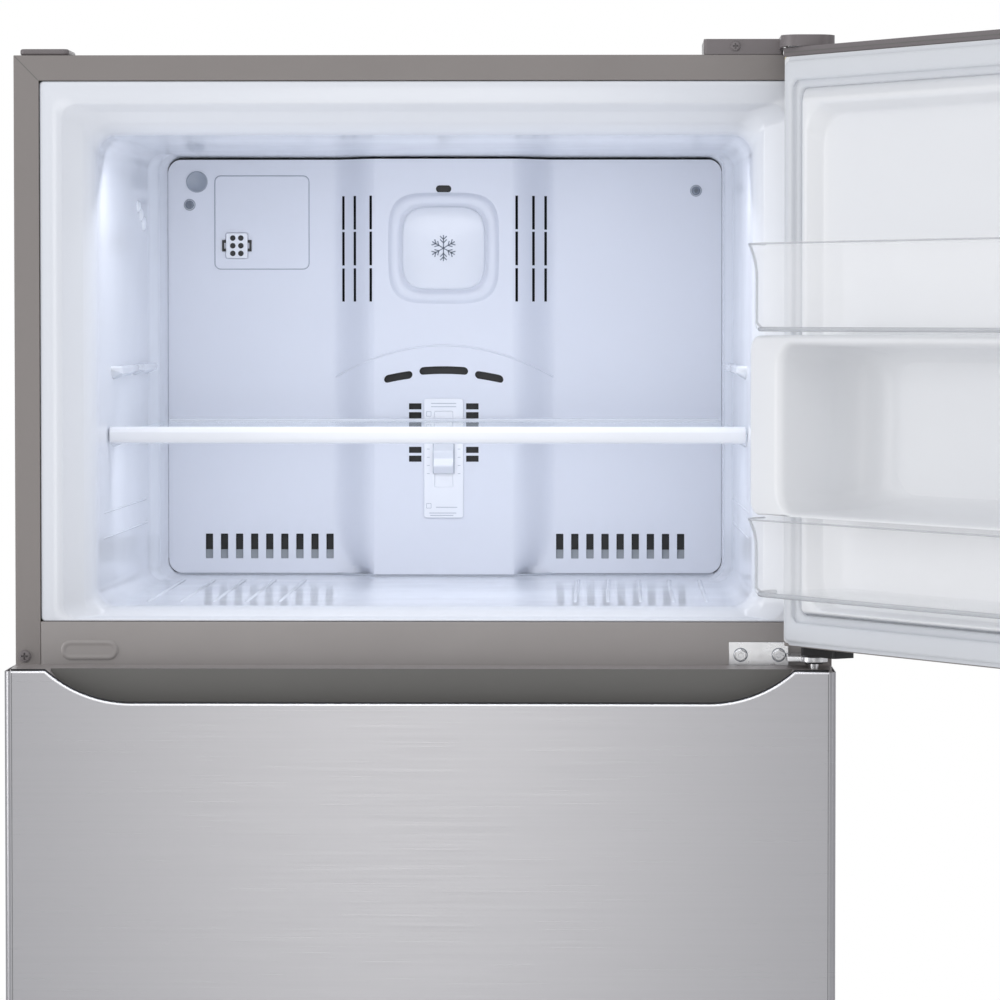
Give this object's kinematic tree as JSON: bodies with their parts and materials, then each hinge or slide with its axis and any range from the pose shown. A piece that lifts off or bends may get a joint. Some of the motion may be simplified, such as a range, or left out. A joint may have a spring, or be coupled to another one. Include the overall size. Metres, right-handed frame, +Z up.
{
  "type": "top freezer refrigerator",
  "caption": "Top freezer refrigerator with hinged doors, pocket handles, clear door bins, glass shelves, crisper drawers and a rear machine room.",
  "frame": {"origin": "bottom centre of the bounding box at rest, on the floor plane; the box includes the freezer door standing open at 124 degrees, so the middle of the cabinet's front edge lies at x -0.214, y -0.021", "axes": "+Z up, -Y out of the cabinet's front towards the person who opens it, +X to the right seen from the front"},
  "size_m": [1.1832, 1.3614, 1.675],
  "materials": {
    "painted_steel": "satin",
    "stainless_sheet": "satin",
    "galvanised_steel": "satin",
    "taupe_trim": "satin",
    "white_liner": "gloss",
    "tempered_glass": "polished",
    "clear_plastic": "polished",
    "framed_glass": "gloss",
    "lamp_lens": "satin",
    "gasket_grey": "matte",
    "rigid_foam": "matte",
    "black_plastic": "satin",
    "black_enamel": "satin",
    "fin_aluminium": "satin"
  },
  "bodies": {
    "cabinet": {"outer_shell": "painted_steel", "mullion_rail": "painted_steel", "back_panel": "galvanised_steel", "base_tray": "galvanised_steel", "machine_room_wall": "galvanised_steel", "top_hinge": "galvanised_steel", "middle_hinge": "galvanised_steel", "bottom_hinge": "galvanised_steel", "top_hinge_cover": "taupe_trim", "top_left_cap": "taupe_trim", "mullion_plug": "taupe_trim", "toe_grille": "taupe_trim", "freezer_liner": "white_liner", "fridge_liner": "white_liner", "evaporator_cover": "white_liner", "air_control_plate": "white_liner", "wiring_cover": "white_liner", "duct_tower": "white_liner", "control_housing": "white_liner", "fridge_shelf_lower": "framed_glass", "fridge_shelf_upper": "framed_glass", "crisper_cover": "framed_glass", "lamp_cover": "lamp_lens", "cabinet_insulation": "rigid_foam", "drain_pan": "black_plastic", "machine_room_cover": "black_plastic", "compressor": "black_enamel", "condenser_coil": "black_enamel", "evaporator": "fin_aluminium"},
    "freezer_door": {"freezer_door_skin": "stainless_sheet", "freezer_door_top_cap": "taupe_trim", "freezer_door_handle_cap": "taupe_trim", "freezer_door_insulation": "rigid_foam", "freezer_door_liner": "white_liner", "freezer_door_gasket": "gasket_grey", "freezer_door_bin_upper": "clear_plastic", "freezer_door_bin_lower": "clear_plastic", "freezer_door_stop": "black_plastic"},
    "fridge_door": {"fridge_door_skin": "stainless_sheet", "fridge_door_bottom_cap": "taupe_trim", "fridge_door_handle_cap": "taupe_trim", "fridge_door_insulation": "rigid_foam", "fridge_door_liner": "white_liner", "fridge_door_gasket": "gasket_grey", "fridge_door_bin_upper": "clear_plastic", "fridge_door_bin_lower": "clear_plastic"},
    "dairy_flap": {"dairy_cover": "clear_plastic"},
    "freezer_shelf": {"freezer_shelf_glass": "tempered_glass", "freezer_shelf_trim": "white_liner"},
    "air_control": {"air_slider": "white_liner"},
    "temperature_dial": {"control_dial": "white_liner"},
    "crisper_left": {"crisper_drawer_left": "clear_plastic"},
    "crisper_right": {"crisper_drawer_right": "clear_plastic"},
    "evaporator_blower": {"evaporator_fan": "white_liner"},
    "condenser_blower": {"condenser_fan": "black_plastic"},
    "foot_left": {"levelling_foot_left": "black_plastic"},
    "foot_right": {"levelling_foot_right": "black_plastic"},
    "wheel_left": {"roller_left": "black_plastic"},
    "wheel_right": {"roller_right": "black_plastic"}
  },
  "joints": [
    {"name": "freezer_door_hinge", "type": "hinge", "parent": "cabinet", "child": "freezer_door", "pos_m": [0.14537, -0.05727, 1.39], "axis": [0, 0, 1], "range_deg": [-124, 0]},
    {"name": "fridge_door_hinge", "type": "hinge", "parent": "cabinet", "child": "fridge_door", "pos_m": [0.14537, -0.05727, 0.58], "axis": [0, 0, 1], "range_deg": [0, 124]},
    {"name": "dairy_cover_hinge", "type": "hinge", "parent": "fridge_door", "child": "dairy_flap", "pos_m": [-0.21413, 0.03073, 0.996], "axis": [1, 0, 0], "range_deg": [0, 90]},
    {"name": "freezer_shelf_slide", "type": "slide", "parent": "cabinet", "child": "freezer_shelf", "axis": [0, -1, 0], "range_m": [0, 0.2]},
    {"name": "air_slider_slide", "type": "slide", "parent": "cabinet", "child": "air_control", "axis": [0, 0, 1], "range_m": [-0.012, 0.016]},
    {"name": "control_dial_turn", "type": "hinge", "parent": "cabinet", "child": "temperature_dial", "pos_m": [-0.21413, 0.17843, 1.027], "axis": [0, -1, 0], "range_deg": [0, 270]},
    {"name": "crisper_left_slide", "type": "slide", "parent": "cabinet", "child": "crisper_left", "axis": [0, -1, 0], "range_m": [0, 0.03]},
    {"name": "crisper_right_slide", "type": "slide", "parent": "cabinet", "child": "crisper_right", "axis": [0, -1, 0], "range_m": [0, 0.03]},
    {"name": "evaporator_fan_spin", "type": "hinge", "parent": "cabinet", "child": "evaporator_blower", "pos_m": [-0.21413, 0.54873, 1.44], "axis": [0, -1, 0], "continuous": true},
    {"name": "condenser_fan_spin", "type": "hinge", "parent": "cabinet", "child": "condenser_blower", "pos_m": [-0.18413, 0.55873, 0.165], "axis": [1, 0, 0], "continuous": true},
    {"name": "foot_left_screw", "type": "hinge", "parent": "cabinet", "child": "foot_left", "pos_m": [-0.54413, 0.02373, 0.03], "axis": [0, 0, 1], "continuous": true},
    {"name": "foot_right_screw", "type": "hinge", "parent": "cabinet", "child": "foot_right", "pos_m": [0.11587, 0.02373, 0.03], "axis": [0, 0, 1], "continuous": true},
    {"name": "roller_left_spin", "type": "hinge", "parent": "cabinet", "child": "wheel_left", "pos_m": [-0.53413, 0.61873, 0.0145], "axis": [1, 0, 0], "continuous": true},
    {"name": "roller_right_spin", "type": "hinge", "parent": "cabinet", "child": "wheel_right", "pos_m": [0.10587, 0.61873, 0.0145], "axis": [1, 0, 0], "continuous": true}
  ]
}
